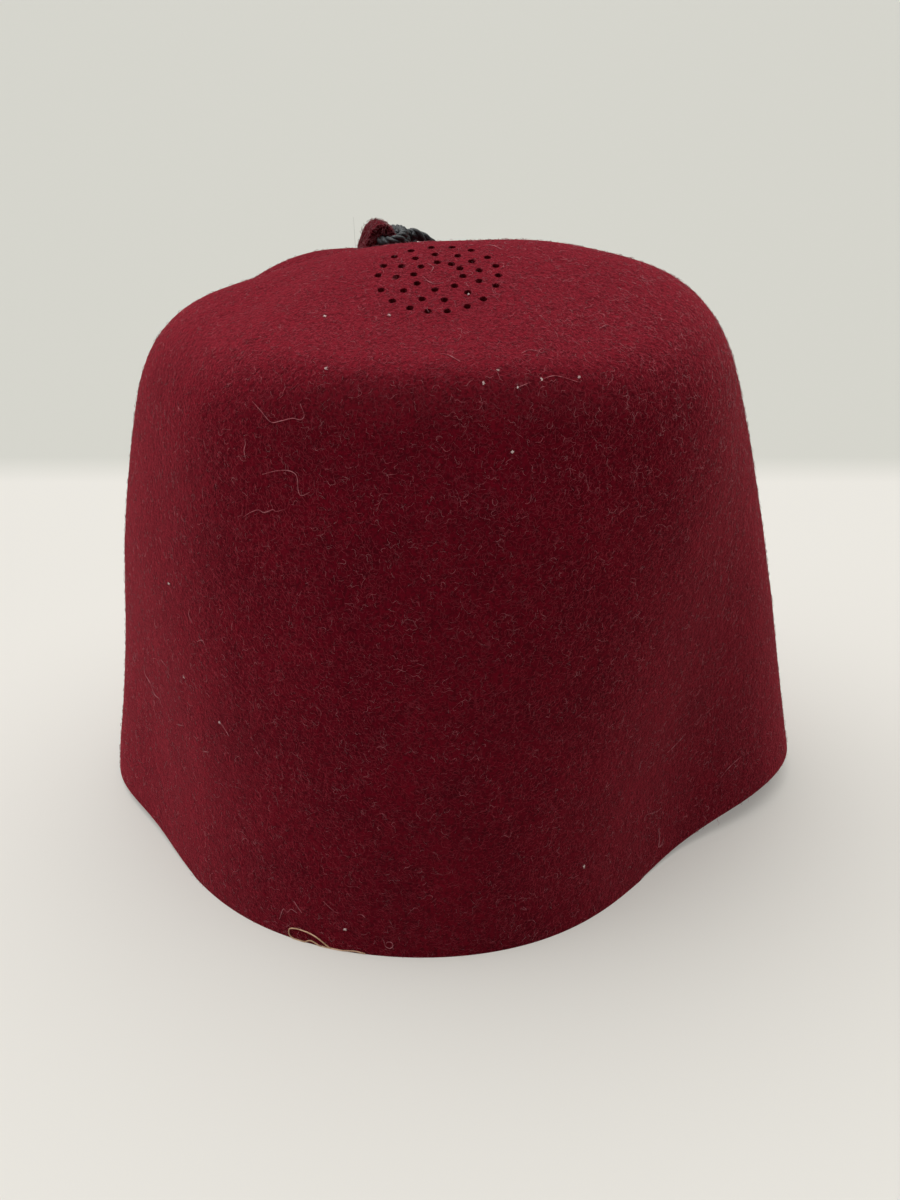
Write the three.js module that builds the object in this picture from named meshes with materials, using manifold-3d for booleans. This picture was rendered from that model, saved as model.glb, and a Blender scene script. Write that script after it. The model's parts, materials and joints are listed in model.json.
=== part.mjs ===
// A tall wool-felt fez with a black silk tassel, lying rim-down on a table.
// The cap is one piece of blocked felt with punched vents in the crown; a felt
// loop stands on the crown, and the tassel's cord is hitched through it.
// Millimetres, +Z up, the wearer's front towards -Y. Azimuths are in degrees
// from +X towards +Y, so -90 is the front and 90 the back.

import * as THREE from 'three';
import { ParametricGeometry } from 'three/addons/geometries/ParametricGeometry.js';
import { mergeVertices } from 'three/addons/utils/BufferGeometryUtils.js';
import Module from 'manifold-3d';

// ---- driving dimensions -------------------------------------------------

const FELT_THICKNESS = 2.5;
const GAP = 0.3; // clearance between touching pieces
const SUMMIT_HEIGHT = 148.3;

// Where the axis that the sections are measured from stands, with the origin
// on the table under the middle of the cap's length and width.
const AXIS = { x: -0.85, y: -2.75 };

// Mesh of the cap: steps round the head, and rows up each part of the profile.
const STEPS_ROUND = 64;
const WALL_ROWS = 13;
const SHOULDER_ROWS = 5;
const CROWN_ROWS = 7;

// Plan of the wall at each height: reach to each side from the axis, and how
// square the oval is (2 is an ellipse).
const WALL_SECTIONS = [
  { height: 0, left: 92.2, right: 94.6, front: 86.5, back: 90.5, squareness: 2.0 },
  { height: 8, left: 91.4, right: 93.4, front: 86.0, back: 89.5, squareness: 2.0 },
  { height: 24, left: 88.9, right: 90.4, front: 84.0, back: 87.5, squareness: 2.0 },
  { height: 42, left: 86.6, right: 86.8, front: 81.5, back: 85.0, squareness: 2.05 },
  { height: 60, left: 84.8, right: 83.1, front: 79.0, back: 82.5, squareness: 2.1 },
  { height: 78, left: 82.4, right: 79.0, front: 76.0, back: 79.5, squareness: 2.15 },
  { height: 95, left: 79.3, right: 75.0, front: 73.0, back: 76.5, squareness: 2.2 },
  { height: 110, left: 76.2, right: 70.9, front: 69.8, back: 73.5, squareness: 2.3 },
  { height: 125, left: 72.6, right: 66.7, front: 66.5, back: 70.0, squareness: 2.4 },
  { height: 145, left: 66.0, right: 61.0, front: 62.0, back: 65.0, squareness: 2.5 },
];

// The rim is squeezed in beside the forehead on both sides, which leaves a
// rounded front lobe; the squeeze fades out up the wall.
const RIM_PINCHES = [
  { azimuth: -36, depth: 21.5, frontSpread: 24, sideSpread: 16, fadeHeight: 52 },
  { azimuth: -155, depth: 10.5, frontSpread: 20.5, sideSpread: 13.5, fadeHeight: 48 },
];

// Stretches of rim that stand off the table; the rest of it is pressed flat.
const RIM_LIFTS = [
  { azimuth: -8, lift: 7.1, spread: 18 },
  { azimuth: -163, lift: 2.4, spread: 13 },
];
const FLATTENED = 0.3; // lift that the hat's weight presses out

// Soft dents (depth inwards, negative outwards) in the wall.
const WALL_DENTS = [
  { azimuth: -85, height: 116, depth: 1.6, turn: 24, rise: 8 },
  { azimuth: -86, height: 106, depth: -1.2, turn: 9, rise: 8 },
  { azimuth: -103, height: 92, depth: 0.8, turn: 9, rise: 10 },
  { azimuth: -108, height: 80, depth: -0.5, turn: 8, rise: 9 },
  { azimuth: -150, height: 104, depth: 1.4, turn: 9, rise: 20 },
  { azimuth: -134, height: 100, depth: -0.9, turn: 7, rise: 22 },
  { azimuth: -42, height: 112, depth: -3.4, turn: 13, rise: 20 },
  { azimuth: -14, height: 22, depth: 1.6, turn: 8, rise: 12 },
  { azimuth: 62, height: 70, depth: 2.2, turn: 18, rise: 26 },
  { azimuth: 128, height: 92, depth: 1.8, turn: 16, rise: 22 },
];

// Height lost from the summit along the crown, back to front and side to side.
const CROWN_ALONG = [
  { at: -85, drop: 26 },
  { at: -70, drop: 18.6 },
  { at: -60, drop: 14.6 },
  { at: -50, drop: 11.0 },
  { at: -40, drop: 6.8 },
  { at: -30, drop: 3.2 },
  { at: -20, drop: 0.6 },
  { at: -12, drop: 0.4 },
  { at: -2, drop: 3.6 },
  { at: 8, drop: 9.0 },
  { at: 18, drop: 13.4 },
  { at: 30, drop: 15.8 },
  { at: 45, drop: 17.2 },
  { at: 60, drop: 20 },
  { at: 85, drop: 28 },
];
const CROWN_ACROSS = [
  { at: -90, drop: 27 },
  { at: -72, drop: 16.8 },
  { at: -60, drop: 12.9 },
  { at: -48, drop: 9.4 },
  { at: -35, drop: 5.4 },
  { at: -22, drop: 2.2 },
  { at: -10, drop: 0.5 },
  { at: 5, drop: 0 },
  { at: 20, drop: 0.3 },
  { at: 34, drop: 2.4 },
  { at: 45, drop: 5.2 },
  { at: 56, drop: 8.7 },
  { at: 66, drop: 13.6 },
  { at: 90, drop: 32 },
];

// Creases and hollows of the crown: a soft bar of the given length and width,
// turned by heading, that rises (or sinks, when negative).
const CROWN_FOLDS = [
  { x: -34, y: -33, rise: 1.1, length: 16, width: 4.0, heading: 31 },
  { x: -35, y: -17, rise: 0.9, length: 11, width: 3.2, heading: 38 },
  { x: -40, y: -25, rise: -1.0, length: 12, width: 4.0, heading: 34 },
  { x: -18, y: -46, rise: 0.8, length: 12, width: 3.2, heading: -60 },
  { x: -44, y: -53, rise: 4.4, length: 16, width: 9, heading: -25 },
  { x: 18, y: -47, rise: 0.9, length: 11, width: 3.4, heading: 44 },
  { x: 33, y: -46, rise: -1.0, length: 9, width: 5.0, heading: 60 },
  { x: -34, y: 12, rise: -4.0, length: 20, width: 11, heading: 10 },
  { x: -46, y: 50, rise: 8.4, length: 18, width: 14, heading: 20 },
  { x: 32, y: 34, rise: 2.0, length: 20, width: 12, heading: -20 },
  { x: 4, y: 53, rise: -2.8, length: 15, width: 9, heading: 90 },
];

// How far the rounded shoulder eats into the wall and the crown.
const SHOULDERS = [
  { azimuth: -180, onWall: 19, onCrown: 18 },
  { azimuth: -140, onWall: 15, onCrown: 14 },
  { azimuth: -115, onWall: 7, onCrown: 6 },
  { azimuth: -75, onWall: 6, onCrown: 5.5 },
  { azimuth: -52, onWall: 11, onCrown: 10 },
  { azimuth: -30, onWall: 14, onCrown: 12 },
  { azimuth: 0, onWall: 21, onCrown: 19 },
  { azimuth: 45, onWall: 24, onCrown: 20 },
  { azimuth: 90, onWall: 19, onCrown: 17 },
  { azimuth: 135, onWall: 19, onCrown: 17 },
  { azimuth: 180, onWall: 19, onCrown: 18 },
];

// Vents punched by hand through the crown, in three rings round a blank middle.
const VENT_DIAMETER = 1.7;
const VENT_SIDES = 8;
const PUNCH_LENGTH = 18;
const VENT_CENTRE = { x: -2.6, y: -31.8 };
const VENT_RINGS = [
  { radius: 5.5, azimuths: [-148, -98, -49, -5, 29, 57, 93, 134, 172] },
  { radius: 9.3, azimuths: [-145, -112, -82, -46, -16, 11, 37, 63, 95, 124, 152, 179] },
  {
    radius: 13.3,
    azimuths: [-160, -138, -118, -100, -82, -63, -43, -19, -1, 16, 34, 56, 76, 97, 118, 138, 157, 174],
  },
];

// Felt loop on the crown: an upright arch of thick felt, leaning a little.
const LOOP = {
  x: -17.3, y: 11.5, top: 146.6, turn: 20, span: 10.4, rise: 12, foot: 8, depth: 6.4, felt: 2.6,
};

// Black silk cord, hitched round the right shoulder of the loop.
const CORD_DIAMETER = 2.8;
const CORD_SIDES = 8;
const CORD_STEP = 6;
const HITCH_STEPS = 20;
const HITCH = { angle: 42, reach: 3.45, side: 5.9, cord: 2.4 };

// Route of the cord's centre line from the hitch, over the crown and down the
// back of the wall to the tassel's head.
const CORD_ROUTE = [
  { x: -9.7, y: 14.2, z: 142.9 },
  { x: -8.4, y: 14.7, z: 142.6 },
  { x: -6.0, y: 15.9, z: 141.0 },
  { x: -3.7, y: 18.2, z: 138.5 },
  { x: -1.6, y: 22.0, z: 135.9 },
  { x: 0.5, y: 27.5, z: 134.9 },
  { x: 2.2, y: 35.0, z: 133.9 },
  { x: 3.2, y: 43.5, z: 132.2 },
  { x: 3.8, y: 51.5, z: 130.2 },
  { x: 3.9, y: 59.0, z: 127.7 },
  { x: 3.8, y: 65.2, z: 124.2 },
  { x: 3.6, y: 70.0, z: 120.6 },
  { x: 3.3, y: 73.8, z: 114.2 },
  { x: 3.0, y: 77.0, z: 106.8 },
  { x: 2.7, y: 79.9, z: 99.8 },
  { x: 2.6, y: 81.5, z: 95.4 },
];

// Tassel, hanging along the slope of the back wall.
const TASSEL = { x: 2.55, y: 81.7, z: 94.7, slope: 8.8 };
const HEAD_SECTIONS = [
  { down: 0, radius: 2.4 },
  { down: 1.6, radius: 4.0 },
  { down: 4.5, radius: 5.0 },
  { down: 8.0, radius: 5.0 },
  { down: 10.5, radius: 4.2 },
];
const BAND = { height: 4.2, radius: 4.2, bulge: 0.6 };
const SKIRT_SECTIONS = [
  { down: 0, across: 4.2, thick: 4.0 },
  { down: 5, across: 6.2, thick: 4.5 },
  { down: 16, across: 8.2, thick: 4.6 },
  { down: 36, across: 10.2, thick: 4.6 },
  { down: 56, across: 12.0, thick: 4.4 },
  { down: 70, across: 13.0, thick: 4.0 },
];
const TASSEL_SIDES = 20;

// ---- materials ----------------------------------------------------------

const felt = new THREE.MeshStandardMaterial({ color: 0x6f1a26, roughness: 0.95, metalness: 0 });
const silk = new THREE.MeshStandardMaterial({ color: 0x17191c, roughness: 0.6, metalness: 0 });

// ---- helpers ------------------------------------------------------------

const radians = THREE.MathUtils.degToRad;
const wasm = await Module();
wasm.setup();

// Difference of two azimuths in degrees, from -180 to 180.
function turnBetween(from, to) {
  return THREE.MathUtils.euclideanModulo(to - from + 180, 360) - 180;
}

function bell(distance, spread) {
  return Math.exp(-0.5 * (distance / spread) ** 2);
}

// Row of a table at any value of its first column, by smooth interpolation.
function tableAt(rows, column, value) {
  const last = rows.length - 1;
  const next = rows.findIndex((row) => row[column] > value);
  const i = next === -1 ? last - 1 : Math.max(0, next - 1);
  const [a, b] = [rows[i], rows[i + 1]];
  const [before, after] = [rows[Math.max(0, i - 1)], rows[Math.min(last, i + 2)]];
  const span = b[column] - a[column];
  const t = THREE.MathUtils.clamp((value - a[column]) / span, 0, 1);
  const row = {};
  for (const key of Object.keys(a)) {
    const slopeA = (b[key] - before[key]) / (b[column] - before[column]);
    const slopeB = (after[key] - a[key]) / (after[column] - a[column]);
    row[key] = (2 * t ** 3 - 3 * t ** 2 + 1) * a[key] + (t ** 3 - 2 * t ** 2 + t) * span * slopeA
      + (3 * t ** 2 - 2 * t ** 3) * b[key] + (t ** 3 - t ** 2) * span * slopeB;
  }
  return row;
}

// Closed solid from a geometry: seams and poles welded, empty triangles dropped.
function solid(geometry) {
  const bare = new THREE.BufferGeometry();
  bare.setAttribute('position', geometry.getAttribute('position').clone());
  if (geometry.index) bare.setIndex(geometry.index.clone());
  const welded = mergeVertices(bare, 1e-4);
  const corners = welded.index.array;
  const kept = [];
  for (let i = 0; i < corners.length; i += 3) {
    const [a, b, c] = corners.subarray(i, i + 3);
    if (a !== b && b !== c && c !== a) kept.push(a, b, c);
  }
  return new wasm.Manifold(new wasm.Mesh({
    numProp: 3,
    vertProperties: new Float32Array(welded.getAttribute('position').array),
    triVerts: new Uint32Array(kept),
  }));
}

function geometryOf(manifold) {
  const mesh = manifold.getMesh();
  const geometry = new THREE.BufferGeometry();
  geometry.setAttribute('position', new THREE.BufferAttribute(mesh.vertProperties, 3));
  geometry.setIndex(new THREE.BufferAttribute(mesh.triVerts, 1));
  geometry.computeVertexNormals();
  return geometry;
}

function piece(name, geometry, material) {
  const mesh = new THREE.Mesh(geometry, material);
  mesh.name = name;
  return mesh;
}

// ---- surface of the cap ---------------------------------------------------

function rimLift(azimuth) {
  const raised = RIM_LIFTS.map((r) => r.lift * bell(turnBetween(r.azimuth, azimuth), r.spread));
  return Math.max(0, raised.reduce((sum, lift) => sum + lift, 0) - FLATTENED);
}

function wallRadius(azimuth, height) {
  const section = tableAt(WALL_SECTIONS, 'height', height);
  const [cos, sin] = [Math.cos(radians(azimuth)), Math.sin(radians(azimuth))];
  const across = Math.abs(cos) / (cos > 0 ? section.right : section.left);
  const along = Math.abs(sin) / (sin > 0 ? section.back : section.front);
  const power = section.squareness;
  let radius = (across ** power + along ** power) ** (-1 / power);
  for (const pinch of RIM_PINCHES) {
    const turn = turnBetween(pinch.azimuth, azimuth);
    const towardsFront = Math.abs(turnBetween(-90, azimuth)) < Math.abs(turnBetween(-90, pinch.azimuth));
    const spread = towardsFront ? pinch.frontSpread : pinch.sideSpread;
    radius -= pinch.depth * bell(turn, spread) * bell(height, pinch.fadeHeight);
  }
  for (const dent of WALL_DENTS) {
    const turn = turnBetween(dent.azimuth, azimuth);
    radius -= dent.depth * bell(turn, dent.turn) * bell(height - dent.height, dent.rise);
  }
  return radius;
}

function crownHeight(x, y) {
  let height = SUMMIT_HEIGHT - tableAt(CROWN_ALONG, 'at', y).drop - tableAt(CROWN_ACROSS, 'at', x).drop;
  for (const fold of CROWN_FOLDS) {
    const [cos, sin] = [Math.cos(radians(fold.heading)), Math.sin(radians(fold.heading))];
    const lengthwise = (x - fold.x) * cos + (y - fold.y) * sin;
    const crosswise = (y - fold.y) * cos - (x - fold.x) * sin;
    height += fold.rise * bell(lengthwise, fold.length) * bell(crosswise, fold.width);
  }
  return height;
}

// Corner where the wall would meet the crown if the shoulder weren't rounded.
function shoulderCorner(azimuth) {
  const [cos, sin] = [Math.cos(radians(azimuth)), Math.sin(radians(azimuth))];
  let height = WALL_SECTIONS.at(-2).height;
  let radius = wallRadius(azimuth, height);
  for (let pass = 0; pass < 6; pass += 1) {
    height = crownHeight(radius * cos, radius * sin);
    radius = wallRadius(azimuth, height);
  }
  return { height, radius };
}

// Profile at one azimuth, as the distance from the axis and the height, from
// the rim (row 0) up the wall, round the shoulder and over the crown.
function profilePoint(azimuth, row) {
  const [cos, sin] = [Math.cos(radians(azimuth)), Math.sin(radians(azimuth))];
  const corner = shoulderCorner(azimuth);
  const shoulder = tableAt(SHOULDERS, 'azimuth', azimuth);
  const wallTop = corner.height - shoulder.onWall;
  const crownEdge = corner.radius - shoulder.onCrown;
  if (row <= WALL_ROWS) {
    const height = THREE.MathUtils.lerp(rimLift(azimuth), wallTop, row / WALL_ROWS);
    return [wallRadius(azimuth, height), height];
  }
  if (row < WALL_ROWS + SHOULDER_ROWS) {
    const t = (row - WALL_ROWS) / SHOULDER_ROWS;
    const weights = [(1 - t) ** 2, 2 * t * (1 - t), t ** 2];
    const start = [wallRadius(azimuth, wallTop), wallTop];
    const end = [crownEdge, crownHeight(crownEdge * cos, crownEdge * sin)];
    return [0, 1].map((k) => (
      weights[0] * start[k] + weights[1] * [corner.radius, corner.height][k] + weights[2] * end[k]
    ));
  }
  const inwards = (row - WALL_ROWS - SHOULDER_ROWS) / CROWN_ROWS;
  const radius = crownEdge * (1 - inwards);
  return [radius, crownHeight(radius * cos, radius * sin)];
}

const PROFILE_ROWS = WALL_ROWS + SHOULDER_ROWS + CROWN_ROWS;

function outerPoint(azimuth, row) {
  const [radius, height] = profilePoint(azimuth, row);
  const angle = radians(azimuth);
  return new THREE.Vector3(radius * Math.cos(angle), radius * Math.sin(angle), height);
}

// Outward direction across the felt. At the rim it is level, so that the cut
// edge of the felt is square and lies flat.
function outwardNormal(azimuth, row) {
  if (row >= PROFILE_ROWS) return new THREE.Vector3(0, 0, 1);
  const step = 0.25;
  const round = outerPoint(azimuth + 1, row).sub(outerPoint(azimuth - 1, row));
  const up = outerPoint(azimuth, Math.min(row + step, PROFILE_ROWS))
    .sub(outerPoint(azimuth, Math.max(row - step, 0)));
  const normal = round.cross(up);
  if (row === 0) normal.z = 0;
  return normal.normalize();
}

// Skin of the cap, moved outwards by a distance (inwards when negative).
function skinPoint(azimuth, row, distance) {
  return outerPoint(azimuth, row).addScaledVector(outwardNormal(azimuth, row), distance);
}

// ---- pieces ---------------------------------------------------------------

// Closed felt wall: down the inside from the crown, across the cut edge at the
// rim, and up the outside.
function feltShell() {
  const rows = 2 * PROFILE_ROWS + 1;
  return solid(new ParametricGeometry((aroundShare, upShare, target) => {
    const azimuth = 360 * (aroundShare % 1) - 180;
    const row = Math.round(upShare * rows);
    const inside = row <= PROFILE_ROWS;
    const profileRow = inside ? PROFILE_ROWS - row : row - PROFILE_ROWS - 1;
    target.copy(skinPoint(azimuth, profileRow, inside ? -FELT_THICKNESS : 0));
  }, STEPS_ROUND, rows));
}

// Solid block of everything inside the cap's outer skin and its clearance.
function capBlock() {
  const rows = PROFILE_ROWS + 1;
  return solid(new ParametricGeometry((aroundShare, upShare, target) => {
    const row = Math.round(upShare * rows);
    if (row === 0) target.set(0, 0, 0);
    else target.copy(skinPoint(360 * (aroundShare % 1) - 180, row - 1, GAP));
  }, STEPS_ROUND, rows));
}

// Punches for the vents, square to the crown at the middle of the pattern.
function ventPunches() {
  const { x, y } = VENT_CENTRE;
  const height = crownHeight(x, y);
  const outwards = new THREE.Vector3(
    crownHeight(x - 1, y) - crownHeight(x + 1, y),
    crownHeight(x, y - 1) - crownHeight(x, y + 1),
    2,
  ).normalize();
  const upright = new THREE.Quaternion().setFromUnitVectors(new THREE.Vector3(0, 0, 1), outwards);
  const punches = [];
  for (const ring of VENT_RINGS) {
    for (const angle of ring.azimuths.map(radians)) {
      const punch = new THREE.CylinderGeometry(
        VENT_DIAMETER / 2, VENT_DIAMETER / 2, PUNCH_LENGTH, VENT_SIDES,
      );
      punch.rotateX(Math.PI / 2);
      punch.translate(ring.radius * Math.cos(angle), ring.radius * Math.sin(angle), 0);
      punches.push(solid(punch.applyQuaternion(upright).translate(x, y, height)));
    }
  }
  return punches;
}

function feltCap() {
  const cap = ventPunches().reduce((left, punch) => left.subtract(punch), feltShell());
  return piece('felt_cap', geometryOf(cap), felt);
}

// Upright arch of felt, with its feet cut to the crown.
function crownLoop() {
  const [a, b] = [LOOP.span / 2, LOOP.rise];
  const outline = new THREE.Shape();
  outline.moveTo(a, -LOOP.foot);
  outline.lineTo(a, 0);
  outline.absellipse(0, 0, a, b, 0, Math.PI, false, 0);
  outline.lineTo(-a, -LOOP.foot);
  outline.lineTo(LOOP.felt - a, -LOOP.foot);
  outline.lineTo(LOOP.felt - a, 0);
  outline.absellipse(0, 0, a - LOOP.felt, b - LOOP.felt, Math.PI, 0, true, 0);
  outline.lineTo(a - LOOP.felt, -LOOP.foot);
  outline.closePath();
  const arch = new THREE.ExtrudeGeometry(outline, {
    depth: LOOP.depth, bevelEnabled: false, curveSegments: 10,
  });
  arch.translate(0, 0, -LOOP.depth / 2);
  arch.rotateX(Math.PI / 2);
  arch.rotateZ(radians(LOOP.turn));
  arch.translate(LOOP.x, LOOP.y, LOOP.top - LOOP.rise);
  return piece('crown_loop', geometryOf(solid(arch).subtract(capBlock())), felt);
}

// Turn of cord round the right shoulder of the loop: a closed ring of cord,
// longer through the depth of the loop than across its felt.
function cordHitch() {
  const angle = radians(HITCH.angle);
  const [a, b] = [(LOOP.span - LOOP.felt) / 2, LOOP.rise - LOOP.felt / 2];
  const centre = new THREE.Vector3(a * Math.cos(angle), 0, b * Math.sin(angle));
  const outwards = new THREE.Vector3(Math.cos(angle) / a, 0, Math.sin(angle) / b).normalize();
  const depthwise = new THREE.Vector3(0, 1, 0);
  const alongFelt = new THREE.Vector3().crossVectors(outwards, depthwise);
  const ring = new ParametricGeometry((roundShare, tubeShare, target) => {
    const turn = 2 * Math.PI * (roundShare % 1);
    const tube = 2 * Math.PI * (tubeShare % 1);
    const swell = (HITCH.cord / 2) * Math.cos(tube);
    target.copy(centre)
      .addScaledVector(outwards, (HITCH.reach + swell) * Math.cos(turn))
      .addScaledVector(depthwise, (HITCH.side + swell) * Math.sin(turn))
      .addScaledVector(alongFelt, (HITCH.cord / 2) * Math.sin(tube));
  }, HITCH_STEPS, CORD_SIDES);
  ring.rotateZ(radians(LOOP.turn));
  ring.translate(LOOP.x, LOOP.y, LOOP.top - LOOP.rise);
  return piece('cord_hitch', geometryOf(solid(ring)), silk);
}

function tasselCord() {
  const route = new THREE.CatmullRomCurve3(CORD_ROUTE.map((p) => new THREE.Vector3(p.x, p.y, p.z)));
  const section = new THREE.Shape();
  for (let i = 0; i < CORD_SIDES; i += 1) {
    const angle = (2 * Math.PI * i) / CORD_SIDES;
    const corner = [(CORD_DIAMETER / 2) * Math.cos(angle), (CORD_DIAMETER / 2) * Math.sin(angle)];
    if (i === 0) section.moveTo(...corner);
    else section.lineTo(...corner);
  }
  section.closePath();
  return piece('tassel_cord', new THREE.ExtrudeGeometry(section, {
    steps: Math.round(route.getLength() / CORD_STEP), extrudePath: route, bevelEnabled: false,
  }), silk);
}

function turned(sections) {
  const profile = sections.map(({ down, radius }) => new THREE.Vector2(radius, -down));
  const [top, bottom] = [profile[0], profile.at(-1)];
  const closed = [new THREE.Vector2(0, bottom.y), ...profile.reverse(), new THREE.Vector2(0, top.y)];
  return new THREE.LatheGeometry(closed, TASSEL_SIDES).rotateX(Math.PI / 2);
}

// Outer form of the hanging threads: oval sections, closed at both ends.
function skirtForm() {
  const rows = SKIRT_SECTIONS.length + 1;
  return new ParametricGeometry((aroundShare, upShare, target) => {
    const angle = 2 * Math.PI * (aroundShare % 1);
    const row = Math.round(upShare * rows);
    const section = SKIRT_SECTIONS[THREE.MathUtils.clamp(rows - 1 - row, 0, rows - 2)];
    const open = row > 0 && row < rows ? 1 : 0;
    target.set(
      open * section.across * Math.cos(angle), open * section.thick * Math.sin(angle), -section.down,
    );
  }, TASSEL_SIDES, rows);
}

function tassel() {
  const head = piece('tassel_head', geometryOf(solid(turned(HEAD_SECTIONS))), silk);
  const headLength = HEAD_SECTIONS.at(-1).down;
  const band = piece('tassel_band', geometryOf(solid(turned([
    { down: 0, radius: BAND.radius },
    { down: BAND.height / 2, radius: BAND.radius + BAND.bulge },
    { down: BAND.height, radius: BAND.radius },
  ]))), silk);
  band.position.z = -headLength - GAP;
  const skirt = piece('tassel_skirt', geometryOf(solid(skirtForm())), silk);
  skirt.position.z = band.position.z - BAND.height - GAP;
  const group = new THREE.Group();
  group.add(head, band, skirt);
  group.rotation.x = radians(TASSEL.slope);
  group.position.set(TASSEL.x, TASSEL.y, TASSEL.z);
  return group;
}

// ---- assembly -------------------------------------------------------------

const fez = new THREE.Group();
fez.add(feltCap(), crownLoop(), cordHitch(), tasselCord(), tassel());
fez.position.set(AXIS.x, AXIS.y, 0);
export default fez;
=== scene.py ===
# A tall fez of blocked wool felt with a felt loop on its crown and a black silk
# tassel, lying rim-down on a pale table.

import json
import math

import bmesh
import bpy
import numpy as np
from bpy.props import FloatProperty, FloatVectorProperty, IntProperty, PointerProperty
from mathutils import Matrix, Vector
from mathutils.bvhtree import BVHTree

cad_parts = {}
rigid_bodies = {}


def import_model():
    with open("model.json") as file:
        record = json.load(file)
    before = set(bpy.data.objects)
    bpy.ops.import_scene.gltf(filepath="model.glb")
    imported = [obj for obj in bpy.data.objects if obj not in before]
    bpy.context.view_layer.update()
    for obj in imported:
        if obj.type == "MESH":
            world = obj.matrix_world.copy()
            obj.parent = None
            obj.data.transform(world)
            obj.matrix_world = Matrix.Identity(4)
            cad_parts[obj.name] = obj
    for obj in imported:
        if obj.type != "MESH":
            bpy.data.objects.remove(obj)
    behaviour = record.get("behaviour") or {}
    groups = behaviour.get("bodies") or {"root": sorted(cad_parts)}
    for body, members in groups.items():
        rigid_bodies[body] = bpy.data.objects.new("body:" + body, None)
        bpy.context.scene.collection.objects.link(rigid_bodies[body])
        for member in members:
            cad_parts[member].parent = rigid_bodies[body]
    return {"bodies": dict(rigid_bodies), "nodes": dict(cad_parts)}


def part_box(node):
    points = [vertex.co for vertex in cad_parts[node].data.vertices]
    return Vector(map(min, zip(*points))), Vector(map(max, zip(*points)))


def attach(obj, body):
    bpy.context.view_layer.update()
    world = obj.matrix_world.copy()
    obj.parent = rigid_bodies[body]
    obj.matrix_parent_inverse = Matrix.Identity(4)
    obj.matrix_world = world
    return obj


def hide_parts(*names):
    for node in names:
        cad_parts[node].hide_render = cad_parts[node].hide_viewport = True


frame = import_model()

bl_info = {
    "name": "Wool Felt Fez",
    "version": (1, 0, 0),
    "blender": (4, 5, 0),
    "location": "View3D > Sidebar > Fez",
    "description": "Makes a felt fez with a silk tassel round its modelled frame",
    "category": "Object",
}

MM = 0.001
CAP_LOW, CAP_HIGH = (Vector(corner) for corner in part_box("felt_cap"))
HEAD_LOW, HEAD_HIGH = (Vector(corner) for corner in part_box("tassel_head"))
SKIRT_LOW, SKIRT_HIGH = (Vector(corner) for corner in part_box("tassel_skirt"))
UP = Vector((0, 0, 1))

# Where the frame's sections are measured from, on the table.
AXIS = Vector((-0.85, -2.75, 0)) * MM

# Centre line of the cord, from the hitch over the crown to the tassel's head,
# measured from the axis.
CORD_ROUTE_MM = [
    (-9.7, 14.2, 142.9),
    (-8.4, 14.7, 142.6),
    (-6.0, 15.9, 141.0),
    (-3.7, 18.2, 138.5),
    (-1.6, 22.0, 135.9),
    (0.5, 27.5, 134.9),
    (2.2, 35.0, 133.9),
    (3.2, 43.5, 132.2),
    (3.8, 51.5, 130.2),
    (3.9, 59.0, 127.7),
    (3.8, 65.2, 124.2),
    (3.6, 70.0, 120.6),
    (3.3, 73.8, 114.2),
    (3.0, 77.0, 106.8),
    (2.7, 79.9, 99.8),
    (2.6, 81.5, 95.4),
]


def linear(hex_colour):
    """An sRGB hex colour as linear red, green, blue and alpha."""
    shares = [int(hex_colour[i : i + 2], 16) / 255 for i in (0, 2, 4)]
    return (*(s / 12.92 if s <= 0.04045 else ((s + 0.055) / 1.055) ** 2.4 for s in shares), 1.0)


def colour_property(name, description, hex_colour):
    return FloatVectorProperty(
        name=name, description=description, subtype="COLOR", size=4, min=0, max=1, default=linear(hex_colour)
    )


def length_property(name, description, millimetres):
    return FloatProperty(
        name=name, description=description, subtype="DISTANCE", unit="LENGTH", min=0, default=millimetres * MM
    )


# ---- settings ---------------------------------------------------------------


class FezFeltSettings(bpy.types.PropertyGroup):
    thickness: length_property("Felt thickness", "Thickness of the cap's wall", 2.5)
    vent: length_property("Vent diameter", "Width of the punched vents", 1.75)
    unevenness: length_property("Unevenness", "Depth of the hand-blocked unevenness", 0.35)
    colour: colour_property("Dye", "Colour of the dyed wool", "6E081B")
    deep: colour_property("Deep dye", "Colour of the wool between its fibres", "5A0516")
    # The crown colour is a painted highlight: the top of the cap made lighter and paler where the light from above
    # falls and the sheen shows.
    crown: colour_property("Crown", "Colour of the wool on the crown, where the nap is rubbed up", "7E1B28")
    # Painted shade: the loop's felt made darker than the cap's, for the shade its front stands in.
    strip: colour_property("Strip", "Colour of the strip of felt that makes the loop", "36070D")
    fibre: colour_property("Fibre", "Colour of the paler fibres at the surface", "8F3A46")
    sheen: colour_property("Sheen", "Colour that the nap takes at a glance", "FF5C6C")
    nap_count: IntProperty(name="Nap hairs", description="Short hairs that stand off the felt", default=14000)
    fibre_count: IntProperty(name="Pale fibres", description="Curly pale fibres on the felt", default=4400)


class FezSilkSettings(bpy.types.PropertyGroup):
    cord: length_property("Cord diameter", "Thickness of the tassel's cord", 2.8)
    thread: length_property("Thread diameter", "Thickness of the tassel's threads", 0.75)
    colour: colour_property("Silk", "Colour of the black silk", "14171A")
    # Painted highlight: a grey that stands in for the light on the silk's ridges.
    ridge_highlight: colour_property("Silk ridge", "Colour of the worn ridges of the silk", "424B4F")
    threads: IntProperty(name="Threads", description="Threads in the tassel's skirt", default=150)


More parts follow.
